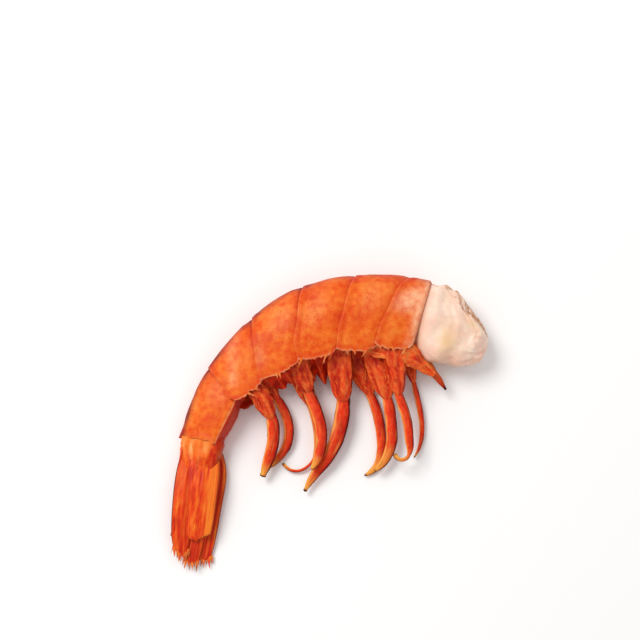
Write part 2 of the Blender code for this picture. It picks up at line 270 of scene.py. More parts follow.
def raw_flesh(name):
    """Raw prawn flesh: milky, wet, clear at its thin edges, with fine fibres and small pores."""
    material, tree, place, zones, _ = started(name, {
        "IOR": 1.38, "Specular IOR Level": 0.4, "Subsurface Weight": 0.35,
        "Subsurface Radius": (1.0, 0.45, 0.3), "Subsurface Scale": 1.2 * MM,
    })
    cloud = add(tree, "TexNoise", {"Vector": place, "Scale": 1 / (4 * MM), "Detail": 4.0})
    grain = add(tree, "TexNoise", {"Vector": place, "Scale": 1 / (0.7 * MM), "Detail": 5.0})
    cloud, grain = cloud.outputs["Fac"], grain.outputs["Fac"]
    pale = add(tree, "ValToRGB", {"Fac": cloud}, [(0.38, FLESH_PINK), (0.62, FLESH)])
    torn = add(tree, "Math", {0: grain, 1: 1.6, 2: zones["Blue"]}, operation="MULTIPLY_ADD")
    browning = add(
        tree, "MapRange",
        {"Value": torn.outputs["Value"], "From Min": 1.1, "From Max": 1.6, "To Max": 0.85},
    )
    wet = add(tree, "MapRange", {"Value": cloud, "To Min": 0.30, "To Max": 0.52})
    layers = [
        (zones["Green"], FLESH_CREAM),
        (zones["Red"], FLESH_SHADE),
        (browning.outputs["Result"], FLESH_BROWN),
    ]
    base = pale.outputs["Color"]
    return finished(material, base, layers, grain, 0.35, 0.15, wet.outputs["Result"])


def meat_place(v):
    """Place along the body of a row of the meat, with most rows on the bare stump."""
    return -STUMP_LENGTH + (MEAT_END + STUMP_LENGTH) * (0.22 * v**1.6 + 0.78 * v**3.2)


def meat_point(u, v):
    """The stump is a lumpy block cut back along the back; under the shell the core is slimmer."""
    s = meat_place(v)
    angle = 2 * math.pi * u
    bare = clamp(-(s + 0.6) / 3.2)
    loose = clamp((3.0 - s) / 3.0)
    open_belly = clamp((3.4 - s) / 4.0)
    reach = clamp(-s / STUMP_LENGTH)
    size = (1 - reach**STUMP_BLUNTNESS) ** 0.45
    lumps = 0.30 * math.sin(2 * angle + 0.45 * s) + 0.24 * math.sin(3 * angle - 0.8 * s + 1.3)
    round_place = (s, 8 * math.cos(angle), 8 * math.sin(angle))
    fibre = bumps(1.1, s / 5, round_place[1], round_place[2])
    crags = 0.55 * bumps(1.7, *round_place) + 0.3 * bumps(0.8, *round_place)
    relief = 0.34 * bumps(4.2, *round_place) + 0.16 * bumps(1.9, *round_place)
    relief = relief + 0.12 * fibre + near(1 - reach, 0.28) * crags
    hang = STUMP_HANG * near(s + 4.5, 4.0) * clamp(-2 * math.cos(angle) - 0.8)
    swell = bare * (STUMP_SWELL + lumps + relief) + hang
    inset = MEAT_INSET - (MEAT_INSET - NECK_INSET) * loose
    back, belly, side = section(s, inset)
    belly *= MEAT_BELLY_SHARE + (1.0 - MEAT_BELLY_SHARE) * open_belly
    up = math.cos(angle)
    across = math.sin(angle)
    if up < 0:
        across = boxy(across, FLANK_SQUARENESS)
    notch = STUMP_NOTCH * near(reach - 0.92, 0.24) * clamp(1.6 * up - 0.1)
    up *= (back if up > 0 else belly) + swell - notch
    across *= side + swell
    slant = CUT_SLANT_BACK if up > 0 else CUT_SLANT_BELLY
    ragged = 0.7 * near(1 - reach, 0.2) * bumps(2.2, round_place[1], round_place[2], 9.0)
    ragged += STUMP_BITE * near(math.cos(angle) - 0.5, 0.38) * reach**2
    return body_point(
        s + (slant * reach * up + ragged) * size, up * size, across * size, inset * (1 - bare)
    )


def meat_tint(u, v):
    """Red: shaded pink. Green: yellower cream. Blue: browned."""
    s = meat_place(v)
    up = math.cos(2 * math.pi * u)
    reach = clamp(-s / STUMP_LENGTH)
    shaded = clamp(near(s - 1.0, 3.0) * 0.5 + clamp(-up - 0.75) * 1.6 + clamp((s + 1) / 3))
    cream = 0.15 * near(s + 9.0, 5.0) + 0.6 * near(s + 8.0, 2.6) * near(up + 0.55, 0.3)
    cream += 0.5 * near(s + 15.5, 2.0) * near(up - 0.1, 0.25)
    browned = 1.1 * near(1 - reach, 0.36) * clamp(2.2 * up - 0.1)
    browned += 0.8 * near(up - 1, 0.2) * clamp(14 * reach)
    browned *= 1 + 0.8 * bumps(1.3, s, 8 * up, 3.0)
    return (shaded, cream, 0.7 * clamp(browned), 1.0)


meat = laid_grid(MEAT_COLUMNS, MEAT_ROWS, meat_point, meat_tint)
close_ends(meat)
tail_meat = made_object("tail_meat", meat, raw_flesh("raw_prawn_flesh"))
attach(tail_meat, "root")
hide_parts("meat")


# --- Skin of the belly --------------------------------------------------------------------------
# The thin red skin that closes the shell rings below, from the root of one leg to that of the
# other, with a hard bar across each somite. It is raw, wet and clear, and it has grown to the
# meat and to the inside of the flaps.
SKIN_START, SKIN_END = 1.2, 63.5
SKIN_COLUMNS, SKIN_ROWS = 60, 200
SKIN_WALL = 0.25
BAR_HEIGHT = 0.45
SKIN_SAG, SKIN_BULGE = 1.5, 6.0
BULGE_START, BULGE_END = 3, 58
SWELL_HEIGHT, SWELL_SPREAD = 5.0, 4.2
SKIN_RED, SKIN_DARK, SKIN_PALE = "#E2300E", "#A81C08", "#F26C36"


def somite_centre(s):
    """Middle of the somite that s lies in."""
    somite = bisect_right(STATIONS, s)
    return (STATIONS[somite - 1] + STATIONS[somite]) / 2


def skin_point(u, v):
    """The skin sags between the legs, most on the side that lies on the table."""
    s = SKIN_START + (SKIN_END - SKIN_START) * v
    angle = math.pi * (0.58 + 0.84 * u)
    middle = 1 - abs(2 * u - 1) ** 3
    bar = BAR_HEIGHT * near(s - somite_centre(s), 1.6) + 0.3 * bumps(0.9, s, 2 * u, 3.0)
    edge_inset = PLATE_WALL + 0.1
    inset = edge_inset + (MEAT_INSET - 0.4 - edge_inset) * middle
    _, belly, side = section(s, inset)
    belly *= 1 - (1 - MEAT_BELLY_SHARE) * middle
    swell = SWELL_HEIGHT * near(s - STATIONS[4] + 1.5, SWELL_SPREAD)
    bulge = (SKIN_BULGE + swell) * near(u - 0.68, 0.2) * clamp((BULGE_END - s) / 6)
    bulge *= (1 + 0.4 * bumps(3.0, s, 2 * u, 5.0)) * clamp((s - BULGE_START) / 5)
    up = math.cos(angle) * (belly + (bar + SKIN_SAG + bulge) * middle)
    across = boxy(math.sin(angle), FLANK_SQUARENESS) * (side + bar * middle)
    return body_point(s, up, across, inset)


def skin_tint(u, v):
    """Red: the paler hard bars. Green and blue: nothing."""
    s = SKIN_START + (SKIN_END - SKIN_START) * v
    ridge = clamp(bumps(0.5, s, 1.2 * u, 8.0))
    return (clamp(near(s - somite_centre(s), 1.1) * 0.4 + 0.6 * ridge), 0.0, 0.0, 1.0)


def raw_skin(name):
    """Raw prawn skin: thin, wet and clear, dark red where it folds."""
    material, tree, place, zones, _ = started(name, {
        "Roughness": 0.5, "IOR": 1.4, "Specular IOR Level": 0.1,
        "Subsurface Weight": 0.1, "Subsurface Scale": 0.5 * MM,
    })
    veins = add(tree, "TexNoise", {"Vector": place, "Scale": 1 / (1.5 * MM), "Detail": 6.0})
    veins = veins.outputs["Fac"]
    red = add(tree, "ValToRGB", {"Fac": veins}, [(0.4, SKIN_DARK), (0.65, SKIN_RED)])
    return finished(material, red.outputs["Color"], [(zones["Red"], SKIN_PALE)], veins, 0.4, 0.1)


skin = laid_grid(SKIN_COLUMNS, SKIN_ROWS, skin_point, skin_tint)
belly_skin = made_object("belly_skin", skin, raw_skin("raw_prawn_skin"))
wall = belly_skin.modifiers.new("wall", "SOLIDIFY")
wall.thickness = SKIN_WALL * MM
wall.offset = -1
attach(belly_skin, "root")


# --- Shell rings --------------------------------------------------------------------------------
# Five open plates and one closed ring of thin raw shell, each grown over the front of the next
# and hinged to it at the flanks. They are satin, half clear and mottled orange, redder to the
# back, with a dark line along it, pale milky patches, and a thin worn rim. The dark back line is
# partly painted shade where the back turns away at the outline, and painted shade darkens the
# crevice under the rim of the plate before and the inside of the left flaps.
EDGE_SLANT = (0.09, 0.38, 0.37, 0.44, 0.52, 0.24, 0.06)
EDGE_BEND = (0.0, 2.4, 1.0, 0.6, 0.0, 0.0, 0.0)
PLATE_OVERLAP = 2.2
CORNER_CUT = (0.16, 0.10, 0.12, 0.16, 0.20)
REAR_LOBE = (0.4, 0.3, 0.8, 0.0, 1.9)
FLAP_TUCK = 0.2
PLATE_COLUMNS, PLATE_ROWS, RING_ROWS = 190, 76, 96
PLATE_SHARP = 75
FAR_MARGIN = 9.0
LEFT_PATCH_SHARE = 0.5
RIM_SHARE = 0.4
RIM_WIDTH = 0.9
RIM_STEP = 0.34
RING_SPINE = 0.5
NECK_HUG = 0.7
RING_SKEW, RING_SQUARENESS = 0.28, 0.45
# Dark line along the back: how far it is turned from the middle of the back towards the outline, and
# how dark it is on each plate. It is partly the back's own dark line and partly painted shade where
# the back turns away at the outline.
BACK_LINE = 0.2
BACK_LINE_AND_EDGE_SHADE = (0.35, 0.4, 0.6, 0.85, 0.9, 0.9)
SHELL_ORANGE, SHELL_LIGHT, SHELL_AMBER = "#E04E10", "#EE7A26", "#E8661A"
SHELL_GOLD, SHELL_RED = "#F0903C", "#CE2C10"
SHELL_MAROON, SHELL_PALE = "#760E04", "#F8B48A"

# Milky patches: plate, how far round from the back (0 to 1), how far from its front, reach round
# and along, strength. They lie on the right side and, fainter, on the left.
Patch = namedtuple("Patch", "plate round along reach_round reach_along strength")
PATCHES = (
    Patch(1, 0.46, 0.52, 0.09, 0.32, 1.0),
    Patch(1, 0.36, 0.40, 0.07, 0.30, 0.6),
    Patch(1, 0.56, 0.10, 0.24, 0.10, 0.8),
    Patch(2, 0.42, 0.45, 0.16, 0.25, 0.15),
    Patch(3, 0.44, 0.60, 0.18, 0.20, 0.15),
    Patch(4, 0.40, 0.35, 0.16, 0.25, 0.15),
    Patch(4, 0.66, 0.88, 0.15, 0.10, 0.25),
    Patch(5, 0.62, 0.67, 0.12, 0.12, 0.45),
    Patch(5, 0.38, 0.52, 0.16, 0.14, 0.25),
    Patch(5, 0.28, 0.36, 0.10, 0.12, 0.25),
    Patch(6, 0.50, 0.20, 0.14, 0.16, 0.15),
)


def tucked(past_edge):
    """How far a plate's front is drawn in under the plate before it, past_edge behind its rear."""
    under = (PLATE_STEP - RIM_STEP) * clamp(-past_edge / 1.1)
    return RIM_STEP * (1 - clamp(past_edge / 2.4)) + under


def shell_relief(s, arc, side, front, rear):
    """Height of the shell's surface: soft dents, fine pits, a low welt inside the rear rim."""
    dents = 0.10 * bumps(5.0, s, arc, 20 * side) + 0.035 * bumps(1.6, s, arc, 20 * side)
    pits = 0.014 * bumps(0.55, s, arc, 20 * side)
    welt = 0.04 * near(rear - s - 0.9, 0.5) - 0.06 * near(rear - s - 2.0, 0.7)
    return dents + pits + welt * clamp((s - front) / 2)


def shell_tint(number, turn, side, s, arc, front, edge, rear, margin):
    """Red: milky patch or rim. Green: red zone, and painted shade on the left flaps' inside.
    Blue: dark line along the back, partly painted shade, the neck rim line, and painted shade in the
    crevice under the plate before and on the left flaps. Alpha: share of the wall.
    """
    along = (s - edge) / (rear - edge)
    ragged = 1 + 0.5 * bumps(2.0, s, arc, 5 * side)
    pale = 0.0
    for patch in PATCHES:
        if patch.plate == number:
            spread = ((turn - patch.round) / patch.reach_round) ** 2
            spread += ((along - patch.along) / patch.reach_along) ** 2
            pale += patch.strength * math.exp(-spread) * (1.0 if side > 0 else LEFT_PATCH_SHARE)
    pale += 0.1 * near(rear - s, 0.3) * ragged + 0.55 * near(margin, 0.35) * ragged
    if number == 1:
        pale += (0.85 * near(s - front - 0.5, 0.9) + 0.3 * near(s - front - 2.2, 1.4)) * ragged
    back_angle = math.pi * turn
    corner = clamp(1 - turn / 0.25)
    red = 0.55 * clamp(1 - back_angle / 1.1) * ragged
    red += (0.3 + 0.7 * corner) * near(rear - s - 1.0, 0.9 + corner) * ragged
    red += 0.35 * near(margin - 0.8, 1.0) + 0.35 * near(s - edge, 1.6) * ragged
    # The dark back line, set on the outline: partly the back's own line, partly painted shade.
    from_line = side * back_angle - BACK_LINE - math.radians(rounded(ROLL, s))
    from_line += 0.12 * bumps(4.0, s, 3.0, 7.0)
    dark = BACK_LINE_AND_EDGE_SHADE[number - 1] * near(from_line, 0.28) * (0.9 + 0.3 * bumps(2.6, s, arc, 9.0))
    # Painted shade in the crevice just behind the rim of the plate before, strongest towards the
    # back.
    if number > 1:
        dark += 0.5 * near(s - edge, 0.4) * (0.35 + 0.65 * clamp(1 - turn / 0.4))
    else:
        dark += 0.45 * near(s - front, 0.22)
    # Painted shade: the left flaps' lower inside, under the body, is painted redder and darker.
    if side < 0:
        red += clamp(1.2 - margin / 6)
        dark += 0.45 * clamp(1 - margin / 5)
    rim = min(1.0, (rear - s) / RIM_WIDTH, margin / RIM_WIDTH)
    wall = RIM_SHARE + (1 - RIM_SHARE) * clamp(rim)
    return (clamp(pale), clamp(red), clamp(dark), wall)


def plate_place(number, u, v):
    """Where a plate's vertex lies: turn, side, depth of flap, s, edges and distance round."""
    side = 1 if u >= 0.5 else -1
    turn = abs(u - 0.5) * 2
    lower = max(0.0, 2 * turn - 1)
    back, belly, width = section((STATIONS[number] + STATIONS[number + 1]) / 2)
    level = back * math.cos(math.pi * turn) if lower == 0 else -belly * lower
    bend = max(0.0, level / back) ** 5
    edge = STATIONS[number] - EDGE_SLANT[number - 1] * level - EDGE_BEND[number - 1] * bend
    rear = STATIONS[number + 1] - EDGE_SLANT[number] * level - EDGE_BEND[number] * bend
    rear += REAR_LOBE[number - 1] * math.sin(math.pi * lower) ** 2
    front = edge - PLATE_OVERLAP if number > 1 else edge
    s = front + (rear - front) * v
    quarter = math.pi / 4 * (back + width)
    arc = quarter * min(1.0, 2 * turn) + belly * lower
    return turn, side, lower, s, front, edge, rear, arc


def plate_point(number, u, v):
    """u goes from the left flap's edge over the back to the right flap's, v from front to rear."""
    turn, side, lower, s, front, edge, rear, arc = plate_place(number, u, v)
    if number > 1:
        inset = tucked(s - edge - REAR_LOBE[number - 2] * math.sin(math.pi * lower) ** 2)
    else:
        inset = NECK_HUG * clamp(1 - v * 9) ** 1.5
    relief = shell_relief(s, arc, side, front, rear)
    back, belly, width = section(s, inset - relief)
    if lower == 0:
        up = back * math.cos(math.pi * turn)
        across = width * math.sin(math.pi * turn)
    else:
        frill = 0.3 * bumps(1.9, s, 11 * side, number) + 0.25 * bumps(0.7, s, 11 * side, number)
        frill *= lower**6
        up = -(belly + frill) * lower * (1 - CORNER_CUT[number - 1] * abs(2 * v - 1) ** 2.5)
        across = width * (1 - FLAP_TUCK * (up / belly) ** 2)
    return body_point(s, up, side * across, inset)


def plate_tint(number, u, v):
    turn, side, lower, s, front, edge, rear, arc = plate_place(number, u, v)
    margin = section(s)[1] * (1 - lower) if lower > 0 else FAR_MARGIN
    return shell_tint(number, turn, side, s, arc, front, edge, rear, margin)


def ring_place(u, v):
    """Where the last ring's vertex lies: how far up, s, front, edge and rear."""
    upward = math.cos(2 * math.pi * u)
    back, belly, _ = section((STATIONS[6] + STATIONS[7]) / 2)
    level = (back if upward > 0 else belly) * upward
    edge = STATIONS[6] - EDGE_SLANT[5] * level
    rear = STATIONS[7] - EDGE_SLANT[6] * level
    front = edge - PLATE_OVERLAP
    s = front + (rear - front) * v
    return upward, s, front, edge, rear


def ring_point(u, v):
    """The last ring is closed, with a flat belly and a small spine at the back of its rear edge."""
    angle = 2 * math.pi * u
    upward, s, front, edge, rear = ring_place(u, v)
    lobe = REAR_LOBE[4] * math.sin(math.pi * min(0.5, max(0.0, -upward))) ** 2
    inset = tucked(s - edge - lobe)
    relief = shell_relief(s, 7 * math.sin(angle), upward, front, rear)
    back, belly, width = section(s, inset - relief)
    spine = RING_SPINE * max(0.0, v - 0.86) / 0.14
    if upward > 0:
        up = (back + spine * upward**8) * upward
        across = width * math.sin(angle)
    else:
        skew = RING_SKEW * (0.7 + (2 * v - 1) ** 2)
        up = -belly * abs(upward) ** 0.6 * (1 - skew * (1 - math.sin(angle)) / 2)
        across = width * boxy(math.sin(angle), RING_SQUARENESS)
    ragged = 0.35 * clamp((v - 0.9) * 10) * bumps(1.2, 7 * upward, 7 * math.sin(angle), 5.0)
    return body_point(s + 1.6 * spine * max(0.0, upward) ** 8 + ragged, up, across, inset)


def ring_tint(u, v):
    upward, s, front, edge, rear = ring_place(u, v)
    turn = math.acos(max(-1.0, min(1.0, upward))) / math.pi
    side = 1 if u < 0.5 else -1
    tint = shell_tint(6, turn, side, s, 20 * turn, front, edge, rear, FAR_MARGIN)
    belly_line = near(upward + 0.79, 0.035) * 0.7
    belly_red = 0.9 * clamp((-upward - 0.8) * 12)
    # Painted shade darkens the outer part of the red belly strip.
    belly_painted_shade = 0.32 * clamp((-upward - 0.86) * 9)
    light, red = max(tint[0], belly_line), clamp(tint[1] + belly_red)
    return (light, red, clamp(tint[2] + belly_painted_shade), tint[3])


def raw_shell(name):
    """Raw prawn shell: thin half-clear chitin, satin, mottled by the pigment under it."""
    material, tree, place, zones, _ = started(name, {
        "IOR": 1.5, "Specular IOR Level": 0.12, "Subsurface Weight": 0.12,
        "Subsurface Radius": (1.0, 0.4, 0.2), "Subsurface Scale": 0.8 * MM,
    })
    patterns = []
    for size, detail, rough in ((6, 3.0, 0.5), (1.6, 6.0, 0.65), (0.8, 2.0, 0.5), (0.35, 3.0, 0.5)):
        inputs = {"Vector": place, "Scale": 1 / (size * MM), "Detail": detail, "Roughness": rough}
        patterns.append(add(tree, "TexNoise", inputs).outputs["Fac"])
    cloud, mottle, specks, grain = patterns
    base = add(
        tree, "ValToRGB", {"Fac": mottle},
        [(0.38, SHELL_ORANGE), (0.5, SHELL_AMBER), (0.64, SHELL_LIGHT)],
    )
    shares = []
    for pattern, low, high, least, most in (
        (cloud, 0.5, 0.3, 0.0, 0.5),
        (cloud, 0.5, 0.75, 0.0, 0.45),
        (mottle, 0.35, 0.6, 0.45, 1.0),
        (specks, 0.6, 0.72, 0.0, 0.6),
        (mottle, 0.0, 1.0, 0.34, 0.56),
    ):
        inputs = {"Value": pattern, "From Min": low, "From Max": high, "To Min": least}
        shares.append(add(tree, "MapRange", {**inputs, "To Max": most}).outputs["Result"])
    golden, ruddy, cloudy, speck, satin = shares
    reddened = add(tree, "Math", {0: ruddy, 1: zones["Green"]}, operation="ADD", use_clamp=True)
    milky = add(tree, "Math", {0: zones["Red"], 1: cloudy}, operation="MULTIPLY")
    layers = [
        (golden, SHELL_GOLD),
        (reddened.outputs["Value"], SHELL_RED),
        (milky.outputs["Value"], SHELL_PALE),
        (speck, SHELL_RED),
        (zones["Blue"], SHELL_MAROON),
    ]
    return finished(material, base.outputs["Color"], layers, grain, 0.25, 0.05, satin)


def shell_piece(name, mesh, material, node):
    """Makes a plate of the mesh, gives it its wall, thinner at the rims, and sets it on the body."""
    made = made_object(name, mesh, material, PLATE_SHARP)
    thickness = made.vertex_groups.new(name="thickness")
    for k, tint in enumerate(made.data.attributes["tint"].data):
        thickness.add([k], tint.color[3], "REPLACE")
    wall = made.modifiers.new("wall", "SOLIDIFY")
    wall.thickness = PLATE_WALL * MM
    wall.offset = -1
    wall.vertex_group = "thickness"
    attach(made, "root")
    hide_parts(node)


shell = raw_shell("raw_prawn_shell")
for number in range(1, 6):
    plate = laid_grid(
        PLATE_COLUMNS,
        PLATE_ROWS,
        lambda u, v: plate_point(number, u, v),
        lambda u, v: plate_tint(number, u, v),
    )
    shell_piece(f"shell_plate_{number}", plate, shell, f"plate_{number}")
ring = laid_grid(PLATE_COLUMNS, RING_ROWS, ring_point, ring_tint)
shell_piece("shell_ring_6", ring, shell, "plate_6")


# --- Swimming legs ------------------------------------------------------------------------------
# Five pairs hang from the belly: a stout ridged root with the muscle in it, then a flat blade of
# thin shell that tapers to a fine tip. Raw shell over red flesh, wet and glossy; each is hinged
# to the skin of the belly at its root.
Leg = namedtuple("Leg", "share across root_width knee headings length width tip_height taper hook")
LEGS = {
    "1_right": Leg(
        0.90, 4.8, 4.2, (19.9, 5.8, 8.0), (289, 288, 275, 258, 108), 22.0, 2.7, 6.0, 6.0, 0.2
    ),
    "1_left": Leg(
        0.50, -3.1, 2.6, (24.4, 10.1, 2.6), (280, 283, 277, 262, 236), 21.3, 1.6, 1.0, 3.5, 0.0
    ),
    "2_right": Leg(
        0.36, 1.6, 6.2, (16.8, 5.3, 5.0), (288, 277, 271, 244, 218), 21.6, 3.2, 3.4, 5.0, 0.0
    ),
    "2_left": Leg(
        0.80, -3.1, 5.0, (12.2, 6.9, 2.0), (301, 285, 276, 254, 202), 24.9, 2.8, 1.0, 5.0, 0.0
    ),
    "3_right": Leg(
        0.20, 3.1, 6.2, (4.2, 4.4, 5.6), (272, 260, 245, 231, 245), 27.4, 4.3, 2.2, 2.6, 0.0
    ),
    "3_left": Leg(
        0.28, -3.1, 3.8, (5.1, 6.4, 2.0), (267, 262, 256, 251, 240), 15.3, 2.6, 1.0, 4.0, 0.0
    ),
    "4_right": Leg(
        0.30, 3.1, 5.6, (-5.4, 7.0, 5.8), (295, 292, 279, 258, 236), 22.7, 3.3, 5.2, 6.0, 0.0
    ),
    "4_left": Leg(
        0.35, -2.6, 3.8, (-4.6, 3.5, 2.0), (297, 281, 260, 209, 124), 25.7, 2.4, 1.0, 5.0, 0.38
    ),
    "5_right": Leg(
        0.50, 3.1, 5.0, (-15.6, -0.4, 6.6), (291, 275, 260, 250, 251), 16.2, 3.5, 3.0, 5.0, 0.0
    ),
    "5_left": Leg(
        0.30, -1.9, 3.2, (-13.9, 5.2, 3.6), (309, 294, 269, 235, 223), 21.3, 2.7, 1.0, 5.0, 0.0
    ),
}
ROOT_CLEARANCE = 0.5
ROOT_THICKNESS, ROOT_BLUNTNESS = 2.6, 1.7
WAIST_SHARE = 0.95
BLADE_THICKNESS = 1.5
KNEE_OVERLAP = 2.4
LEG_SIDES, ROOT_ROWS, BLADE_ROWS = 44, 50, 110
LEG_RED, LEG_CRIMSON, LEG_ORANGE = "#E2300E", "#B4180C", "#EC521E"
LEG_LIGHT, LEG_DARK, LEG_TIP = "#F8A04C", "#4A0C06", "#EEAA46"

# The amber share of a blade's tip, how black and how blunt its very end is, and how broad the
# root is where it leaves the belly.
LegEnd = namedtuple("LegEnd", "tip dark blunt spread")
LEG_ENDS = {
    "1_right": LegEnd(0.30, 0.6, 0.40, 1.35),
    "1_left": LegEnd(0.10, 1.0, 0.20, 1.5),
    "2_right": LegEnd(0.40, 0.6, 0.16, 1.2),
    "2_left": LegEnd(0.35, 1.0, 0.16, 1.75),
    "3_right": LegEnd(0.22, 1.0, 0.24, 1.1),
    "4_left": LegEnd(0.14, 0.8, 0.34, 1.5),
    "5_right": LegEnd(0.24, 1.0, 0.50, 1.1),
}
PLAIN_END = LegEnd(0.20, 0.3, 0.16, 1.1)


def eased(values, share):
    """Value at the share of a smooth curve through evenly spread values."""
    place = share * (len(values) - 1)
    k = min(int(place), len(values) - 2)
    f = place - k
    b, c = values[k], values[k + 1]
    slope_b = (c - values[max(k - 1, 0)]) / 2
    slope_c = (values[min(k + 2, len(values) - 1)] - b) / 2
    square, cube = f * f, f * f * f
    return (
        b * (2 * cube - 3 * square + 1)
        + slope_b * (cube - 2 * square + f)
        + c * (3 * square - 2 * cube)
        + slope_c * (cube - square)
    )


def limb_path(start, headings, length, heights, count):
    """Points of a limb that leaves start, turns through the headings and follows the heights."""
    flat = walk(start, lambda share: eased(headings, share), length, count)
    return [Vector((p.x, p.y, eased(heights, k / count))) for k, p in enumerate(flat)]


def round_end(share, length, radius):
    """Narrows a strand to a point over the radius at each end, as a half circle does."""
    from_end = min(share, 1 - share) * length / radius
    return math.sqrt(max(0.0, 1 - (1 - min(1.0, from_end)) ** 2))


def strand(path, width, thickness, shape, sides, relief, tint, bluntness=0.5, cut=None):
    """A flattened tube along the path, shape(share) wide, with relief(u, share) on it, closed.

    Its ends are round over bluntness of its thickness, and cut(lead, u) draws the far end back,
    with lead 1 at one edge and -1 at the other.
    """
    last = len(path) - 1
    length = sum((b - a).length for a, b in zip(path, path[1:]))

    def place(u, v):
        k = round(v * last)
        along = (path[min(k + 1, last)] - path[max(k - 1, 0)]).normalized()
        side = along.cross(Vector((0, 0, 1))).normalized()
        lead = math.cos(2 * math.pi * u)
        end = round_end(v, length, min(thickness * shape(v) * bluntness, length / 2))
        raised = relief(u, v) * end
        wide = side * ((width / 2 * shape(v) * end + raised) * lead)
        thick = thickness / 2 * shape(v) * end + raised
        thick = side.cross(along) * (thick * math.sin(2 * math.pi * u))
        if cut:
            wide -= along * (cut(lead, u) * clamp((v - 0.7) / 0.3) ** 2)
        return (path[k] - FOOTPRINT_MIDDLE + wide + thick) * MM

    mesh = laid_grid(sides, last, place, tint)
    close_ends(mesh)
    return mesh


def joined(name, meshes, material):
    """One closed piece made of the meshes, which overlap; each vertex keeps its nearest tint."""
    before = []
    for mesh in meshes:
        tints = mesh.verts.layers.float_color["tint"]
        before += [(vertex.co.copy(), tuple(vertex[tints])) for vertex in mesh.verts]
    nearest = kdtree.KDTree(len(before))
    for k, (place, _) in enumerate(before):
        nearest.insert(place, k)
    nearest.balance()
    base, *others = [made_object(f"{name}_{k}", mesh, material) for k, mesh in enumerate(meshes)]
    for other in others:
        union = base.modifiers.new("union", "BOOLEAN")
        union.operation = "UNION"
        union.object = other
        union.solver = "EXACT"
    bpy.context.view_layer.update()
    graph = bpy.context.evaluated_depsgraph_get()
    data = bpy.data.meshes.new_from_object(base.evaluated_get(graph))
    base.modifiers.clear()
    base.data = data
    base.name = data.name = name
    for other in others:
        bpy.data.objects.remove(other)
    for vertex, tint in zip(data.vertices, data.attributes["tint"].data):
        tint.color = before[nearest.find(vertex.co)[1]][1]
    return base


def root_shape(spread, waist):
    """Width of a leg's root: broad where it leaves the belly, drawn in to the blade at the knee."""
    return lambda share: waist + (spread - waist) * (1 - share**3.5)


def blade_shape(taper, hook, blunt):
    """Width along a leg's blade: full below the knee, thinning to the tip or to a fine hook."""

    def shape(share):
        swell = 0.74 + 0.26 * min(1.0, share / 0.18)
        body = max(0.0, 1 - (share / (1 - hook)) ** taper) if share < 1 - hook else 0.0
        return max(0.30 + (blunt - 0.30) * share, swell * body**0.6)

    return shape


def fibres(u, v, seed, fineness):
    """Fine uneven fibres along a strand, from 0 between them to 1 on them, closed round it."""
    angle = 2 * math.pi * u
    weave = bumps(0.3, fineness * math.cos(angle), fineness * math.sin(angle), 0.9 * v + seed)
    return clamp(1 - 2.4 * abs(weave)) ** 1.5


def folds(u, v, seed, size):
    """Soft folds that run along a strand, about -1 to 1, closed round it."""
    return bumps(size, math.cos(2 * math.pi * u), math.sin(2 * math.pi * u), 2.6 * size * v + seed)


def crossed_fibres(u, v, seed):
    """Two layers of fibres that cross at a low angle, from 0 between them to 1 on them."""
    return max(fibres(u + 0.16 * v, v, seed, 1.1), fibres(u - 0.12 * v, 1.6 * v, seed + 4, 0.9))


def root_relief(seed):
    """Folds of muscle and crossed fibres, fading out at the knee."""

    def relief(u, v):
        lead = math.cos(2 * math.pi * u)
        fold = 0.34 * folds(u, v, seed, 0.42) + 0.16 * bumps(0.7, 2 * lead, 6 * v, seed)
        return (1 - v**5) * (fold + 0.1 * crossed_fibres(u, v, seed))

    return relief


def root_tint(seed):
    """Red: pale fibres, painted lighter on the ridges as a highlight. Green: crimson muscle, deepest
    in the folds as painted shade. Blue: painted shade near the belly and in the folds, random dark
    patches, and a dark rear edge that is partly painted shade.
    """

    def tint(u, v):
        ridge, fine = folds(u, v, seed, 0.42), folds(u, v, seed, 0.14)
        fibre = crossed_fibres(u, v, seed)
        lead = math.cos(2 * math.pi * u)
        patch = bumps(0.7, 2 * lead, 6 * v, seed)
        # Pale fibres, painted lighter on the ridges of the folds as a highlight; crimson deepest in
        # the folds, as painted shade.
        light = 0.36 * fibre * clamp(0.6 + ridge) + 0.15 * clamp(fine - 0.3)
        crimson = clamp(0.7 - 0.7 * ridge - 0.5 * patch - 0.6 * fine - 0.3 * v * v)
        crimson *= 1 - 0.6 * fibre
        # Painted shade near the belly and in the folds; random dark patches; a dark rear edge,
        # partly painted shade.
        dark = 0.12 * clamp(1 - v / 0.35) + 0.25 * clamp(-0.3 - ridge)
        dark += 0.15 * clamp(-patch - 0.3) + 0.6 * clamp(-lead * 5 - 4)
        return (clamp(light), crimson, clamp(dark), 1.0)

    return tint


def blade_relief(seed):
    """Faint fibres and shallow dents."""

    def relief(u, v):
        angle = 2 * math.pi * u
        dents = bumps(0.5, math.cos(angle), math.sin(angle), 5 * v + seed)
        return 0.05 * fibres(u, v, seed, 0.8) + 0.05 * dents

    return relief


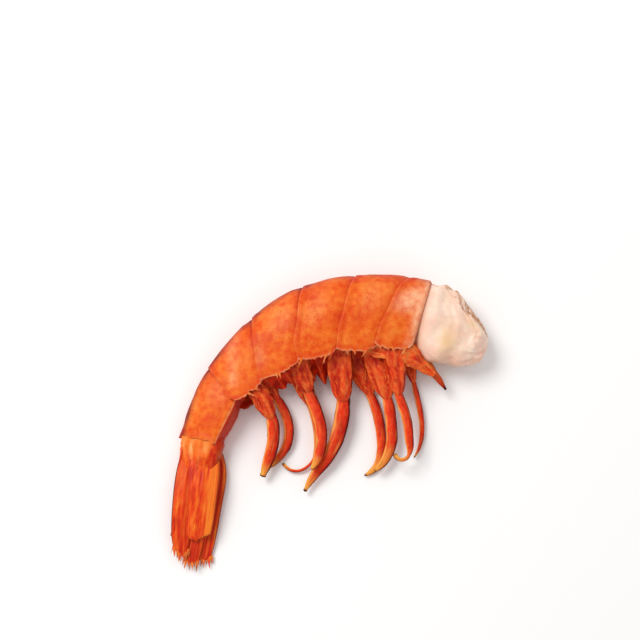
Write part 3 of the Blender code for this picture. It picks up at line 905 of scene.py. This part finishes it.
def blade_tint(seed, tip, dark_end):
    """Red: light leading edge, partly its own colour and partly painted highlight, and light lines.
    Green: crimson. Blue: dark rear edge, partly painted shade, fine dark lines, a thin line of
    painted shade along the leading edge, and the black end. Alpha above 1: amber tip.
    """

    def tint(u, v):
        lead = math.cos(2 * math.pi * u)
        patch = 0.3 * bumps(0.6, lead, 5 * v, seed)
        line = bumps(0.16, lead, 0.8 * v, seed + 6)
        # Light leading edge: partly the blade's own colour, partly painted highlight.
        light = 0.9 * clamp((lead + 0.5 * patch - 0.62) * 4) + 0.5 * clamp(line - 0.3)
        crimson = clamp(0.2 - 0.95 * lead + patch + 0.6 * line)
        # Dark rear edge, partly its own colour and partly painted shade, fine dark lines, a thin
        # line of painted shade along the leading edge, and the black end.
        dark = clamp(-lead * 6 - 4.5 + patch) + 0.5 * clamp(-line - 0.35)
        dark += 0.6 * clamp(lead * 14 - 12.9) + dark_end * clamp((v - 0.965) * 50)
        end = clamp((v - 1 + tip) / tip * 1.3) * clamp(0.9 + 0.4 * lead - 0.5 * clamp(-line))
        return (clamp(light), crimson, clamp(dark), 1.0 + end)

    return tint


def raw_leg(name):
    """Raw prawn leg: thin clear shell over red flesh, glossy, with dark edges and amber tips; the
    light and dark along the edges are partly painted highlight and shade.
    """
    material, tree, place, zones, alpha = started(name, {
        "Roughness": 0.4, "IOR": 1.5, "Specular IOR Level": 0.12, "Subsurface Weight": 0.1,
        "Subsurface Radius": (1.0, 0.35, 0.2), "Subsurface Scale": 0.6 * MM,
    })
    pattern = {"Vector": place, "Scale": 1 / (1.2 * MM), "Detail": 5.0, "Roughness": 0.6}
    mottle = add(tree, "TexNoise", pattern).outputs["Fac"]
    base = add(
        tree, "ValToRGB", {"Fac": mottle}, [(0.38, LEG_RED), (0.68, LEG_ORANGE)]
    )
    tip = add(tree, "Math", {0: alpha, 1: 1.0}, operation="SUBTRACT", use_clamp=True)
    layers = [
        (zones["Green"], LEG_CRIMSON),
        (zones["Red"], LEG_LIGHT),
        (tip.outputs["Value"], LEG_TIP),
        (zones["Blue"], LEG_DARK),
    ]
    return finished(material, base.outputs["Color"], layers, mottle, 0.3, 0.06)


leg_finish = raw_leg("raw_prawn_leg")
ROOT_LINES = {}
for order, (key, leg) in enumerate(LEGS.items()):
    number = int(key[0])
    s = STATIONS[number] + leg.share * SOMITE_LENGTHS[number - 1]
    belly = section(s, MEAT_INSET)[1]
    start = body_point(s, -(belly * MEAT_BELLY_SHARE + ROOT_CLEARANCE), leg.across) / MM
    start += FOOTPRINT_MIDDLE
    knee = Vector(leg.knee)
    end = LEG_ENDS.get(key, PLAIN_END)
    tapered = root_shape(end.spread, WAIST_SHARE * leg.width / leg.root_width)
    ROOT_LINES[key] = (start, knee, leg.root_width, tapered)
    root_path = [start.lerp(knee, k / ROOT_ROWS) for k in range(ROOT_ROWS + 1)]
    first = math.radians(leg.headings[0])
    above = knee - Vector((math.cos(first), math.sin(first), 0)) * KNEE_OVERLAP
    heights = (knee.z - 0.2, (knee.z + leg.tip_height) / 2, leg.tip_height)
    blade_path = limb_path(above, leg.headings, leg.length + KNEE_OVERLAP, heights, BLADE_ROWS)
    root = strand(
        root_path, leg.root_width, ROOT_THICKNESS, tapered, LEG_SIDES, root_relief(order),
        root_tint(order), ROOT_BLUNTNESS,
    )
    narrowed = blade_shape(leg.taper, leg.hook, end.blunt)
    blade = strand(
        blade_path, leg.width, BLADE_THICKNESS, narrowed, LEG_SIDES, blade_relief(order),
        blade_tint(order, end.tip, end.dark),
    )
    swimming_leg = joined(f"swimming_leg_{key}", [root, blade], leg_finish)
    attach(swimming_leg, "root")
    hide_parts(f"leg_{key}")


# --- Stub of a walking leg ----------------------------------------------------------------------
# What is left of a torn walking leg: a tube of raw shell in two joints, along the belly side of
# the neck, orange with a black broken tip. The skin of the belly still holds it.
STUB_START = (18.6, 20.6)
STUB_HEADINGS = (327, 327, 318, 300)
STUB_LENGTH = 19.4
STUB_HEIGHTS = (6.2, 5.6, 4.8)
STUB_WIDTH, STUB_THICKNESS = 3.9, 2.0
STUB_SEED = 3.0


def stub_shape(share):
    """Width along the stub: a swollen joint, then a slimmer second joint broken off blunt."""
    joint = 1 - 0.4 * clamp((share - 0.6) / 0.12) + 0.06 * near(share - 0.57, 0.04)
    return max(0.26, (1 - share**5) ** 0.8) * joint


def stub_relief(u, v):
    dents = bumps(0.3, math.cos(2 * math.pi * u), 3 * v, 7.0)
    return 0.1 * fibres(u, v, STUB_SEED, 1.0) + 0.12 * dents


def stub_tint(u, v):
    """Red: light fibres. Green: crimson. Blue: dark edge and black tip."""
    lead = math.cos(2 * math.pi * u)
    light = 0.3 + 0.4 * fibres(u, v, STUB_SEED, 1.0)
    dark = clamp(-lead * 4 - 3) + 0.4 * clamp((v - 0.7) * 3) + 1.2 * clamp((v - 0.93) * 20)
    return (light * clamp(2.2 - 2.2 * v), clamp(2 * v - 1), clamp(dark), 1.0)


stub = strand(
    limb_path(STUB_START, STUB_HEADINGS, STUB_LENGTH, STUB_HEIGHTS, BLADE_ROWS),
    STUB_WIDTH,
    STUB_THICKNESS,
    stub_shape,
    LEG_SIDES,
    stub_relief,
    stub_tint,
)
walking_leg_stub = made_object("walking_leg_stub", stub, leg_finish)
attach(walking_leg_stub, "root")
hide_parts("leg_stub")


# --- Tail fan -----------------------------------------------------------------------------------
# The telson stands on edge at the back between two pairs of flat blades, the right pair over the
# left. Each is thin raw shell over a little flesh, ribbed along its length, streaked red and
# amber, and hinged to the end of the last ring.
Blade = namedtuple("Blade", "start headings length width thickness end heights")
FAN = {
    "telson": Blade((-40.0, -4.9), (257, 263, 265, 259), 27.9, 1.3, 3.4, 0.1, (2.9, 2.7, 2.3)),
    "tail_right_inner": Blade(
        (-38.2, -5.1), (264, 262, 266, 273), 32.8, 6.0, 0.8, 0.6, (3.2, 4.6, 2.9)
    ),
    "tail_right_outer": Blade(
        (-35.0, -5.2), (277, 269, 264, 264), 28.4, 8.8, 0.8, 0.84, (4.7, 5.9, 4.2)
    ),
    "tail_left_inner": Blade(
        (-35.2, -4.8), (271, 267, 263, 261), 35.5, 6.0, 0.8, 0.6, (3.2, 3.4, 2.0)
    ),
    "tail_left_outer": Blade(
        (-34.6, -5.9), (303, 265, 262, 263), 34.2, 6.8, 0.8, 0.6, (2.0, 2.2, 1.0)
    ),
}
FAN_ROOT_SHARE = 0.62
FAN_BLUNTNESS, TELSON_BLUNTNESS = 2.2, 0.5
FAN_SIDES, FAN_ROWS = 80, 130
FAN_RED, FAN_DEEP, FAN_AMBER = "#E6420F", "#C0220C", "#F08028"
FAN_LIGHT, FAN_EDGE = "#F8BC7C", "#4E1208"
FAN_TURN = math.radians(-8)
STREAK_STRETCH = 7.0


def fan_shape(end):
    """Width along a tail blade: swelling from the root, narrowing a little, then a rounded end."""

    def shape(share):
        opened = math.sin(math.pi / 2 * min(1.0, share / 0.32))
        swell = FAN_ROOT_SHARE + (1 - FAN_ROOT_SHARE) * opened
        narrowing = 1 - 0.25 * max(0.0, share - 0.35)
        return swell * narrowing * (end + (1 - end) * (1 - share**9) ** 0.5)

    return shape


def telson_shape(share):
    return max(0.12, (1 - share) ** 0.75)


def fan_relief(seed):
    """A low rib along the middle and fine uneven ribs either side of it."""

    def relief(u, v):
        lead = math.cos(2 * math.pi * u)
        rib = 0.12 * near(lead, 0.14) * clamp(1.1 - v)
        fine = 0.06 * bumps(0.09, lead, 0.25 * v, seed) + 0.05 * bumps(0.3, lead, 1.5 * v, seed)
        return rib + fine

    return relief


def fan_cut(curve, slant):
    """Draws the corners of a blade's end back, one more than the other, and frays it."""

    def drawn(lead, u):
        fray = 0.5 * bumps(0.2, lead, slant, math.sin(2 * math.pi * u))
        return curve * lead * lead + slant * lead + fray

    return drawn


def fan_tint(seed, amber_side, depth, left_dark, right_dark):
    """Red: amber streak. Green: deep red streak. Blue: dark edge. Alpha above 1: pale base."""

    def tint(u, v):
        lead = math.cos(2 * math.pi * u)
        streak = bumps(0.3, lead, 0.3 * v, seed)
        fine = bumps(0.09, lead, 0.12 * v, seed + 3)
        amber = 0.75 * clamp((amber_side * lead - 0.3 + 0.5 * streak + 0.4 * fine) * 2.2)
        amber = clamp(amber + 0.25 * clamp(fine) + 0.6 * clamp(1.1 - v / 0.16))
        deep = clamp(depth * (1 + 2 * clamp(v * 5 - 4)) - 0.5 * streak - 0.4 * fine) * (1 - amber)
        dark = left_dark * clamp(lead * 9 - 7.7) + right_dark * clamp(-lead * 9 - 7.7)
        base = 0.3 * clamp(1 - v / 0.3) * clamp(0.5 + streak)
        return (amber, deep, clamp(dark), 1.0 + base)

    return tint


def raw_tail_blade(name):
    """Raw prawn tail blade: thin clear shell, streaked lengthwise by the pigment under it."""
    material, tree, place, zones, alpha = started(name, {
        "Roughness": 0.42, "IOR": 1.5, "Specular IOR Level": 0.12, "Subsurface Weight": 0.1,
        "Subsurface Radius": (1.0, 0.4, 0.2), "Subsurface Scale": 0.6 * MM,
    })
    lengthwise = add(
        tree, "Mapping",
        {"Vector": place, "Rotation": (0, 0, FAN_TURN), "Scale": (1, STREAK_STRETCH, 1)},
        vector_type="TEXTURE",
    )
    pattern = {"Vector": lengthwise.outputs["Vector"], "Scale": 1 / (0.9 * MM), "Detail": 4.0}
    mottle = add(tree, "TexNoise", pattern).outputs["Fac"]
    base = add(
        tree, "ValToRGB", {"Fac": mottle},
        [(0.35, FAN_DEEP), (0.48, FAN_RED), (0.75, FAN_AMBER)],
    )
    pale = add(tree, "Math", {0: alpha, 1: 1.0}, operation="SUBTRACT", use_clamp=True)
    layers = [
        (zones["Green"], FAN_DEEP),
        (zones["Red"], FAN_AMBER),
        (pale.outputs["Value"], FAN_LIGHT),
        (zones["Blue"], FAN_EDGE),
    ]
    return finished(material, base.outputs["Color"], layers, mottle, 0.3, 0.06)


# Each blade's amber side, its depth of red, how dark its left and right edges are, and the curve
# and slant of its end.
FanLook = namedtuple("FanLook", "amber_side depth left_dark right_dark curve slant")
FAN_LOOKS = {
    "telson": FanLook(-0.1, 0.1, 1.0, 0.6, 0.0, 0.0),
    "tail_right_inner": FanLook(0.35, 0.1, 0.9, 0.1, 1.1, 0.6),
    "tail_right_outer": FanLook(-0.9, 0.1, 0.1, 0.6, 0.4, -0.8),
    "tail_left_inner": FanLook(0.5, 0.4, 0.1, 0.1, 1.1, 0.3),
    "tail_left_outer": FanLook(0.5, 0.4, 0.1, 0.7, 1.1, 0.3),
}
fan_finish = raw_tail_blade("raw_prawn_tail_blade")
for order, (key, blade) in enumerate(FAN.items()):
    look = FAN_LOOKS[key]
    mesh = strand(
        limb_path(blade.start, blade.headings, blade.length, blade.heights, FAN_ROWS),
        blade.width,
        blade.thickness,
        telson_shape if key == "telson" else fan_shape(blade.end),
        FAN_SIDES,
        fan_relief(order),
        fan_tint(order, look.amber_side, look.depth, look.left_dark, look.right_dark),
        bluntness=TELSON_BLUNTNESS if key == "telson" else FAN_BLUNTNESS,
        cut=None if key == "telson" else fan_cut(look.curve, look.slant),
    )
    tail_blade = made_object("fan_" + key, mesh, fan_finish)
    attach(tail_blade, "root")
    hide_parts(key)


# --- Root of the tail ---------------------------------------------------------------------------
# The knuckle between the last ring and the fan: soft pale flesh under thin skin, where the blades
# are hinged. It is amber and milky, with a dark red fold on the belly side, and closes the ring's
# end.
KNUCKLE_START, KNUCKLE_LENGTH = 76.6, 14.0
KNUCKLE_COLUMNS, KNUCKLE_ROWS = 80, 60
KNUCKLE_SQUARENESS = 0.7


def knuckle_point(u, v):
    angle = 2 * math.pi * u
    s = KNUCKLE_START + KNUCKLE_LENGTH * v
    back, belly, width = section(STATIONS[7], 0.6 - 0.42 * clamp((s - 77.5) / 1.0))
    end = math.sqrt(max(0.0, 1 - v**3))
    place = (s, 5 * math.cos(angle), 5 * math.sin(angle))
    lump = (0.3 * bumps(2.6, *place) + 0.14 * bumps(0.9, *place)) * clamp((s - 79) / 2)
    back -= 0.8 * clamp(v * 4 - 0.4)
    flat = 1 - 0.3 * v
    up = ((back if math.cos(angle) > 0 else belly) * end + lump) * math.cos(angle)
    dome = boxy(math.sin(angle), KNUCKLE_SQUARENESS)
    across = (width * end * flat + lump) * dome
    return body_point(s, up, across - 0.3 * v, 0.2)


def knuckle_tint(u, v):
    """Red: amber. Green: deep red. Blue: dark fold. Alpha above 1: milky."""
    angle = 2 * math.pi * u
    patch = bumps(1.5, 5 * v, 5 * math.cos(angle), 5 * math.sin(angle))
    belly_side = clamp(-math.cos(angle) * 4 - 2.2)
    centre = near(math.cos(angle) - 0.1, 0.5) * near(v - 0.36, 0.16)
    fade = clamp(v * 5 - 1.9)
    return (
        clamp(0.75 + 0.3 * patch - belly_side) * (1 - 0.75 * fade),
        clamp(0.5 * belly_side + 0.2 * clamp(-patch)),
        0.25 * clamp(-math.cos(angle) * 6 - 4.8),
        1.0 + clamp(0.25 + 1.2 * patch) * centre,
    )


knuckle = laid_grid(KNUCKLE_COLUMNS, KNUCKLE_ROWS, knuckle_point, knuckle_tint)
close_ends(knuckle)
tail_knuckle = made_object("tail_knuckle", knuckle, fan_finish)
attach(tail_knuckle, "root")


# --- Torn skin at the neck ----------------------------------------------------------------------
# Ragged orange skin and fibre left on the belly side of the neck when the head was pulled off. It
# is soft and wet, runs from under the first plate's flap round the foot of the torn leg, and is
# still joined to both.
TORN_START = (8.5, 21.0)
TORN_HEADINGS = (352, 342, 332, 326)
TORN_LENGTH = 23.5
TORN_HEIGHTS = (9.6, 10.8, 7.0)
TORN_WIDTH, TORN_THICKNESS, TORN_BLUNTNESS = 7.4, 2.8, 0.8
TORN_SIDES = 64
TORN_SEED, TORN_FINENESS = 9.0, 1.6


def torn_shape(share):
    return max(0.2, (0.75 + 0.25 * math.sin(math.pi * share)) * (1 - share**2.2) ** 0.7)


def torn_relief(u, v):
    """Lumps and fibres, with a lobe at one edge."""
    angle = 2 * math.pi * u
    place = (3 * math.cos(angle), 3 * math.sin(angle), 18 * v)
    lobe = 1.8 * near(v - 0.6, 0.14) * clamp(-math.cos(angle))
    lumps = lobe + 0.4 * bumps(2.2, *place) + 0.25 * bumps(0.9, *place)
    return lumps + 0.12 * fibres(u, v, TORN_SEED, TORN_FINENESS)


def torn_tint(u, v):
    """Red: light fibres. Green: crimson. Blue: dark edge."""
    patch = bumps(0.5, math.cos(2 * math.pi * u), math.sin(2 * math.pi * u), 4 * v)
    fibre = fibres(u, 2 * v, TORN_SEED, TORN_FINENESS)
    lead = math.cos(2 * math.pi * u)
    return (
        clamp(0.14 + 0.42 * fibre + 0.2 * patch),
        clamp(-0.1 - 0.6 * patch - 0.4 * lead) * (1 - 0.8 * fibre),
        clamp(-lead * 3 - 2.4) * 0.5,
        1.0,
    )


torn = strand(
    limb_path(TORN_START, TORN_HEADINGS, TORN_LENGTH, TORN_HEIGHTS, BLADE_ROWS),
    TORN_WIDTH,
    TORN_THICKNESS,
    torn_shape,
    TORN_SIDES,
    torn_relief,
    torn_tint,
    TORN_BLUNTNESS,
)
torn_neck_skin = made_object("torn_neck_skin", torn, leg_finish)
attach(torn_neck_skin, "root")


# --- Bristles, fibres and fringe ----------------------------------------------------------------
# Stiff hairs of clear amber chitin that grow out of the shell: short ones in tufts along the
# lower rims of the flaps, a dense frayed fringe at the ends of the tail blades, and loose fibres
# of red muscle between the roots of the legs. They are drawn twice as thick as real ones, so that
# they show.
BRISTLE_SIDES, HAIR_TIP = 5, 0.12
BRISTLE_AMBER, BRISTLE_PALE, BRISTLE_BROWN = "#EC7420", "#FBD08C", "#8A4216"
RIM_TUFTS, RIM_HAIRS = 3, 3
RIM_HAIR_LENGTH, RIM_HAIR_RADIUS = 1.9, 0.16
RIM_HAIR_DEPTH, RIM_HAIR_SPACING = 0.6, 0.3
FRINGE_CLUMPS, FRINGE_HAIRS = 9, 14
CLUMP_LENGTH, CLUMP_RADIUS, CLUMP_FLATNESS = 3.0, 0.5, 0.35
FRINGE_LENGTH, FRINGE_RADIUS = 2.2, 0.2
FRINGE_DEPTH, FRINGE_SPAN = 1.2, 0.94
FIBRES_PER_LEG = 8
FIBRE_LENGTH, FIBRE_RADIUS = 4.0, 0.13


def hair(mesh, root, way, length, radius, shade, flatness=1.0):
    """Adds a thin cone from root, in metres, along way; shade tints its root and its tip."""
    tints = mesh.verts.layers.float_color["tint"]
    turn = way.normalized().to_track_quat("Z", "Y").to_matrix().to_4x4()
    middle = root + way.normalized() * length * MM / 2
    cone = bmesh.ops.create_cone(
        mesh,
        cap_ends=True,
        segments=BRISTLE_SIDES,
        radius1=radius * MM,
        radius2=radius * MM * HAIR_TIP,
        depth=length * MM,
        matrix=Matrix.Translation(middle) @ turn,
    )
    for vertex in cone["verts"]:
        vertex.co.z = root.z + (vertex.co.z - root.z) * flatness
        far = (vertex.co - root).length > length * MM / 2
        vertex[tints] = shade[1] if far else shade[0]


def raw_bristle(name):
    """Raw prawn bristle and muscle fibre: thin clear amber chitin, or wet red fibre."""
    material, tree, place, zones, _ = started(
        name, {"Roughness": 0.45, "IOR": 1.5, "Specular IOR Level": 0.12}
    )
    mottle = add(tree, "TexNoise", {"Vector": place, "Scale": 1 / (1.5 * MM), "Detail": 3.0})
    base = add(
        tree, "ValToRGB", {"Fac": mottle.outputs["Fac"]},
        [(0.35, LEG_RED), (0.6, BRISTLE_AMBER)],
    )
    layers = [(zones["Red"], BRISTLE_PALE), (zones["Blue"], BRISTLE_BROWN)]
    return finished(material, base.outputs["Color"], layers)


def hair_mesh():
    mesh = bmesh.new()
    mesh.verts.layers.float_color.new("tint")
    return mesh


bristle_finish = raw_bristle("raw_prawn_bristle")
chance = random.Random(5)
rim_hairs = hair_mesh()
for number in range(1, 6):
    for tuft in range(RIM_TUFTS):
        v = (tuft + 0.9 * chance.random()) / RIM_TUFTS
        root = plate_point(number, 1.0, v)
        down = (root - plate_point(number, 0.96, v)).normalized()
        along = (plate_point(number, 1.0, min(1, v + 0.05)) - root).normalized()
        swing = chance.uniform(-0.8, 0.8)
        pale = chance.uniform(0.15, 0.7)
        reach = RIM_HAIR_LENGTH * chance.uniform(0.4, 1.2)
        for k in range(RIM_HAIRS):
            aside = (k - 1) * RIM_HAIR_SPACING
            way = down + along * (swing - 0.5 * aside + chance.uniform(-0.12, 0.12))
            length = reach * chance.uniform(0.6, 1.1)
            shade = ((0.0, 0, 0, 1), (pale, 0, 0, 1))
            start = root - down * RIM_HAIR_DEPTH * MM + along * aside * MM
            hair(rim_hairs, start, way, length + RIM_HAIR_DEPTH, RIM_HAIR_RADIUS, shade)
rim_bristles = made_object("rim_bristles", rim_hairs, bristle_finish)
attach(rim_bristles, "root")

fringe = hair_mesh()
for key in ("tail_right_inner", "tail_left_inner", "tail_left_outer"):
    blade, look = FAN[key], FAN_LOOKS[key]
    path = limb_path(blade.start, blade.headings, blade.length, blade.heights, FAN_ROWS)
    way = (path[-1] - path[-6]).normalized()
    side = way.cross(Vector((0, 0, 1)))
    half_width = blade.width / 2 * fan_shape(blade.end)(0.9)
    for k in range(FRINGE_CLUMPS + FRINGE_HAIRS):
        clump = k < FRINGE_CLUMPS
        lead = 2 * (k + chance.random()) / FRINGE_CLUMPS - 1 if clump else chance.uniform(-1, 1)
        drawn = look.curve * lead * lead + look.slant * lead + FRINGE_DEPTH
        root = path[-1] - FOOTPRINT_MIDDLE - way * drawn
        root += side * half_width * lead * FRINGE_SPAN
        spread = way + side * (0.12 * lead + chance.uniform(-0.2, 0.2))
        length = (CLUMP_LENGTH if clump else FRINGE_LENGTH) * chance.uniform(0.55, 1.15)
        radius = (CLUMP_RADIUS if clump else FRINGE_RADIUS) * chance.uniform(0.6, 1.4)
        brown = chance.choice((0.0, 0.3, 0.8))
        shade = ((0.0, 0, 0, 1), (chance.uniform(0.0, 0.3), 0, brown, 1))
        hair(fringe, root * MM, spread, length, radius, shade, CLUMP_FLATNESS if clump else 1.0)
tail_fringe = made_object("tail_fringe", fringe, bristle_finish)
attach(tail_fringe, "root")

strings = hair_mesh()
for key, (start, knee, width, tapered) in ROOT_LINES.items():
    way = (knee - start).normalized()
    side = way.cross(Vector((0, 0, 1))).normalized()
    over = side.cross(way)
    for k in range(FIBRES_PER_LEG):
        share = chance.uniform(0.0, 0.8)
        lead = chance.uniform(-0.95, 0.95)
        half = width / 2 * tapered(share)
        lift = ROOT_THICKNESS / 2 * tapered(share) * math.sqrt(1 - lead * lead)
        root = start.lerp(knee, share) + side * half * lead + over * (lift + 0.04)
        swing = way + side * (chance.uniform(-0.5, 0.5) + 0.1 * lead) - over * 0.1
        length = FIBRE_LENGTH * chance.uniform(0.4, 1.1)
        pale = chance.uniform(0.0, 0.2)
        shade = ((pale, 0, 0, 1), (pale, 0, 0, 1))
        hair(strings, (root - FOOTPRINT_MIDDLE) * MM, swing, length, FIBRE_RADIUS, shade)
muscle_fibres = made_object("muscle_fibres", strings, bristle_finish)
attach(muscle_fibres, "root")


# --- Floor, light and camera --------------------------------------------------------------------
# A plain white matt table, one large soft lamp high to the left with a white room round it, and a
# camera that looks down steeply from the belly side.
FLOOR_SIZE = 3.0
FLOOR_WHITE = "#FAF9F9"
LAMP_PLACE = Vector((-0.42, 0.34, 0.75))
LAMP_SIZE = 0.5
LAMP_POWER = 5.2
LAMP_COLOUR = (1.0, 0.985, 0.96)
ROOM_WHITE, ROOM_STRENGTH = "#FFFFFF", 0.64
CAMERA_TARGET = Vector((-3.03, 29.13, 0)) * MM
CAMERA_DISTANCE = 435 * MM
CAMERA_ELEVATION = math.radians(78)
CAMERA_LENS, SENSOR_WIDTH = 85, 36

plane = bmesh.new()
bmesh.ops.create_grid(plane, x_segments=1, y_segments=1, size=FLOOR_SIZE / 2)
paper = bpy.data.materials.new("matt_white_paint")
paper.use_nodes = True
paint = {"Base Color": srgb(FLOOR_WHITE), "Roughness": 0.9, "Specular IOR Level": 0.1}
for socket, value in paint.items():
    paper.node_tree.nodes["Principled BSDF"].inputs[socket].default_value = value
floor = made_object("floor", plane, paper)

lamp = bpy.data.lights.new("lamp", "AREA")
lamp.shape = "DISK"
lamp.size = LAMP_SIZE
lamp.energy = LAMP_POWER
lamp.color = LAMP_COLOUR
lamp = linked("lamp", lamp)
lamp.location = LAMP_PLACE
lamp.rotation_euler = (-LAMP_PLACE).to_track_quat("-Z", "Y").to_euler()

room = bpy.data.worlds.new("room")
room.use_nodes = True
walls = room.node_tree.nodes["Background"].inputs
walls["Color"].default_value = srgb(ROOM_WHITE)
walls["Strength"].default_value = ROOM_STRENGTH
bpy.context.scene.world = room

camera = bpy.data.cameras.new("camera")
camera.lens = CAMERA_LENS
camera.sensor_width = SENSOR_WIDTH
camera = linked("camera", camera)
towards = Vector((0, -math.cos(CAMERA_ELEVATION), math.sin(CAMERA_ELEVATION)))
camera.location = CAMERA_TARGET + towards * CAMERA_DISTANCE
camera.rotation_euler = (-towards).to_track_quat("-Z", "Y").to_euler()
bpy.context.scene.camera = camera
bpy.context.scene.view_settings.view_transform = "Standard"
